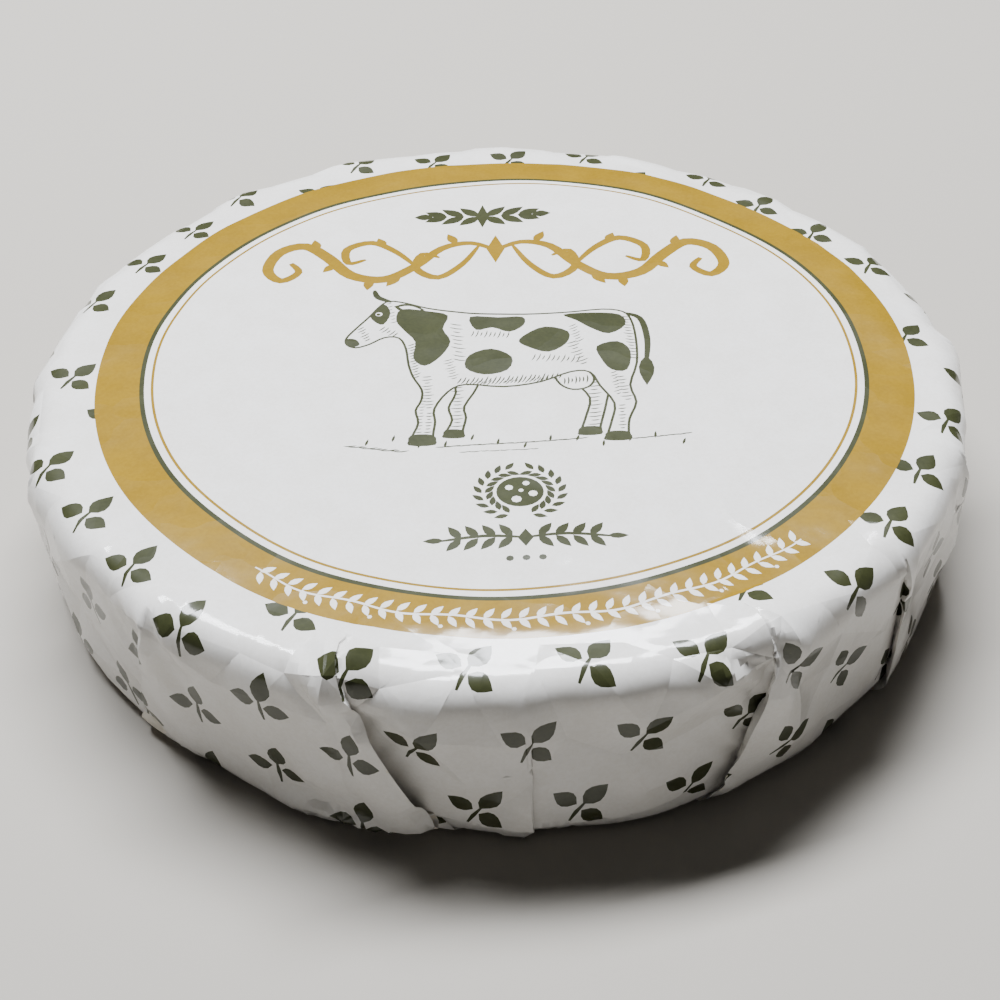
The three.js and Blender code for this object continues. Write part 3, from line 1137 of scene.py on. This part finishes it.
# %% Laminated paper and its inks
def laminated(name, colour, darker, roughness):
    material, tree, shader = new_material(name)
    uv = add(tree, "UVMap", uv_map="flat_sheet")
    mm = add(tree, "VectorMath", {0: uv.outputs["UV"], 1: (2 * SHEET_RADIUS,) * 3,
                                  2: (-SHEET_RADIUS,) * 3}, operation="MULTIPLY_ADD").outputs[0]
    # cloudy ink and fibres: patches of about 9 mm, and specks of about 0.7 mm
    clouds = add(tree, "TexNoise", {"Vector": mm, "Scale": 1 / 9, "Detail": 2.0})
    specks = add(tree, "TexNoise", {"Vector": mm, "Scale": 1 / 0.7, "Detail": 3.0})
    both = add(tree, "Math", {0: clouds.outputs["Fac"], 1: specks.outputs["Fac"]}, operation="ADD")
    tone = add(tree, "MapRange", {"Value": both.outputs[0], "From Min": 0.75, "From Max": 1.25})
    mix = add(tree, "Mix", {"Factor": tone.outputs[0], "A": srgb(colour), "B": srgb(darker)},
              data_type="RGBA")
    # creases: the walls between cells of about 17 mm, bent by noise
    bend = add(tree, "TexNoise", {"Vector": mm, "Scale": 1 / 14, "Detail": 2.0})
    bent = add(tree, "VectorMath", {0: bend.outputs["Color"], 1: (16.0,) * 3, 2: mm},
               operation="MULTIPLY_ADD").outputs[0]
    cells = add(tree, "TexVoronoi", {"Vector": bent, "Scale": 1 / 17}, feature="F1")
    radius = add(tree, "VectorMath", {0: mm}, operation="LENGTH").outputs["Value"]
    handled = add(tree, "MapRange", {"Value": radius, "From Min": 88.0, "From Max": 100.0,
                                     "To Min": 0.12, "To Max": 1.0})
    creases = add(tree, "Math", {0: cells.outputs["Distance"], 1: handled.outputs[0]},
                  operation="MULTIPLY")
    crease_bump = add(tree, "Bump", {"Height": creases.outputs[0], "Strength": 0.5,
                                     "Distance": 1.1 * MM})
    # the film's own faint waves, about 2.5 mm across
    waves = add(tree, "TexNoise", {"Vector": mm, "Scale": 1 / 2.5, "Detail": 2.0})
    film_bump = add(tree, "Bump", {"Height": waves.outputs["Fac"], "Strength": 0.35,
                                   "Distance": 0.05 * MM, "Normal": crease_bump.outputs[0]})
    # glued film leaves no air on the ink, so the ink's own surface hardly reflects
    fill(tree, shader, {"Base Color": mix.outputs["Result"], "Normal": film_bump.outputs[0],
                        "Coat Normal": film_bump.outputs[0], "Roughness": roughness, "IOR": 1.5,
                        "Specular IOR Level": 0.12, "Coat Weight": 0.8, "Coat Roughness": 0.12,
                        "Coat IOR": 1.49})
    return material


for film in (
        # bleached paper under clear film: almost white, a little warm
        ("laminated_white_paper", "#ECEAE6", "#E4E1DB", 0.5),
        # offset-printed gold-tone ink under the film: an even ochre without real metal in it
        ("gold_tone_ink_under_film", "#8F7114", "#85680E", 0.42),
        # offset-printed dark green ink under the film: nearly black, lifted by the film's sheen
        ("dark_olive_ink_under_film", "#3A3D24", "#32351F", 0.42)):
    wrapper.data.materials.append(laminated(*film))

# %% [markdown]
# ### The paper's plain side
#
# The side that touches the cheese has no film: it is soft, matt paper, a little creamier.

# %% Uncoated paper
material, tree, shader = new_material("uncoated_paper_back")
uv = add(tree, "UVMap", uv_map="flat_sheet")
mm = add(tree, "VectorMath", {0: uv.outputs["UV"], 1: (2 * SHEET_RADIUS,) * 3},
         operation="MULTIPLY").outputs[0]
fibres = add(tree, "TexNoise", {"Vector": mm, "Scale": 1 / 0.9, "Detail": 4.0})
tone = add(tree, "Mix", {"Factor": fibres.outputs["Fac"], "A": srgb("#E6E0D3"), "B": srgb("#DAD3C4")},
           data_type="RGBA")
bump = add(tree, "Bump", {"Height": fibres.outputs["Fac"], "Strength": 0.4, "Distance": 0.06 * MM})
fill(tree, shader, {"Base Color": tone.outputs["Result"], "Normal": bump.outputs[0],
                    "Roughness": 0.85, "IOR": 1.5})
wrapper.data.materials.append(material)

# %% [markdown]
# ### The bloomy rind
#
# The rind is a felt of white mould grown over the curd in the ripening room. A felt has no
# highlight; instead it is brightest where it is seen edge-on, which the sheen gives. In
# some patches the mould is thinner and the cream-coloured curd shows.

# %% White mould rind
material, tree, shader = new_material("white_mould_rind")
where = add(tree, "TexCoord").outputs["Object"]
thin = add(tree, "TexNoise", {"Vector": where, "Scale": 1 / (11 * MM), "Detail": 4.0})
worn = add(tree, "MapRange", {"Value": thin.outputs["Fac"], "From Min": 0.42, "From Max": 0.66})
felt = add(tree, "TexNoise", {"Vector": where, "Scale": 1 / (0.8 * MM), "Detail": 3.0})
tone = add(tree, "Mix", {"Factor": worn.outputs[0], "A": srgb("#F1EDE2"), "B": srgb("#DCCBA0")},
           data_type="RGBA")
bump = add(tree, "Bump", {"Height": felt.outputs["Fac"], "Strength": 0.7, "Distance": 0.4 * MM})
fill(tree, shader, {"Base Color": tone.outputs["Result"], "Normal": bump.outputs[0],
                    "Roughness": 0.95, "IOR": 1.4, "Sheen Weight": 0.35, "Sheen Roughness": 0.5,
                    "Subsurface Weight": 0.12,
                    "Subsurface Radius": (2.0 * MM, 1.4 * MM, 0.9 * MM)})
cheese.data.materials.append(material)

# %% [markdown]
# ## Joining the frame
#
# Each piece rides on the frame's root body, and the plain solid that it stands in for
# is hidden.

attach(cheese, "root")
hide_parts("cheese_wheel")
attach(wrapper, "root")
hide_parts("wrapper")

# %% [markdown]
# ## Floor, light and camera
#
# The wheel lies on a plain pale floor under one large soft light that hangs above and
# behind it. The top is then bright, the wall towards us lies in soft shade, lit by the
# floor, and the film draws a thin bright line along the rim and every crease. The light is
# a little cool and the floor a little warm, so the shade is warmer than the top.

# %% Floor
HALF_FLOOR = 3000     # mm
floor_corners = np.array([(-1, -1, 0), (1, -1, 0), (1, 1, 0), (-1, 1, 0)]) * HALF_FLOOR
floor = new_object("floor", floor_corners, [(0, 1, 2, 3)])
material, tree, shader = new_material("pale_floor")
fill(tree, shader, {"Base Color": srgb("#ABA69D"), "Roughness": 0.8})
floor.data.materials.append(material)

# %% Lights
world = bpy.data.worlds.new("studio")
world.use_nodes = True
background = world.node_tree.nodes["Background"]
fill(world.node_tree, background, {"Color": srgb("#F2F3F5"), "Strength": 0.05})
bpy.context.scene.world = world

lamp = bpy.data.lights.new("high_window", "AREA")
lamp.shape = "RECTANGLE"
lamp.size, lamp.size_y = 1.0, 0.28
lamp.energy = 57
lamp.color = srgb("#F6F9FF")[:3]
window = bpy.data.objects.new("high_window", lamp)
window.location = (-0.15, 0.47, 1.11)
to_wheel = Vector((0, 0, 0.03)) - window.location
window.rotation_euler = to_wheel.to_track_quat("-Z", "Y").to_euler()
bpy.context.scene.collection.objects.link(window)

# %% Camera
lens = bpy.data.cameras.new("camera")
lens.lens = 52.06
lens.sensor_width = 36
camera = bpy.data.objects.new("camera", lens)
camera.location = (0.0016, -0.26205, 0.2181)
camera.rotation_mode = "ZYX"       # tilt up from straight down, then yaw, then roll
camera.rotation_euler = [math.radians(a) for a in (49.81, 0.221, -0.861)]
bpy.context.scene.collection.objects.link(camera)
bpy.context.scene.camera = camera
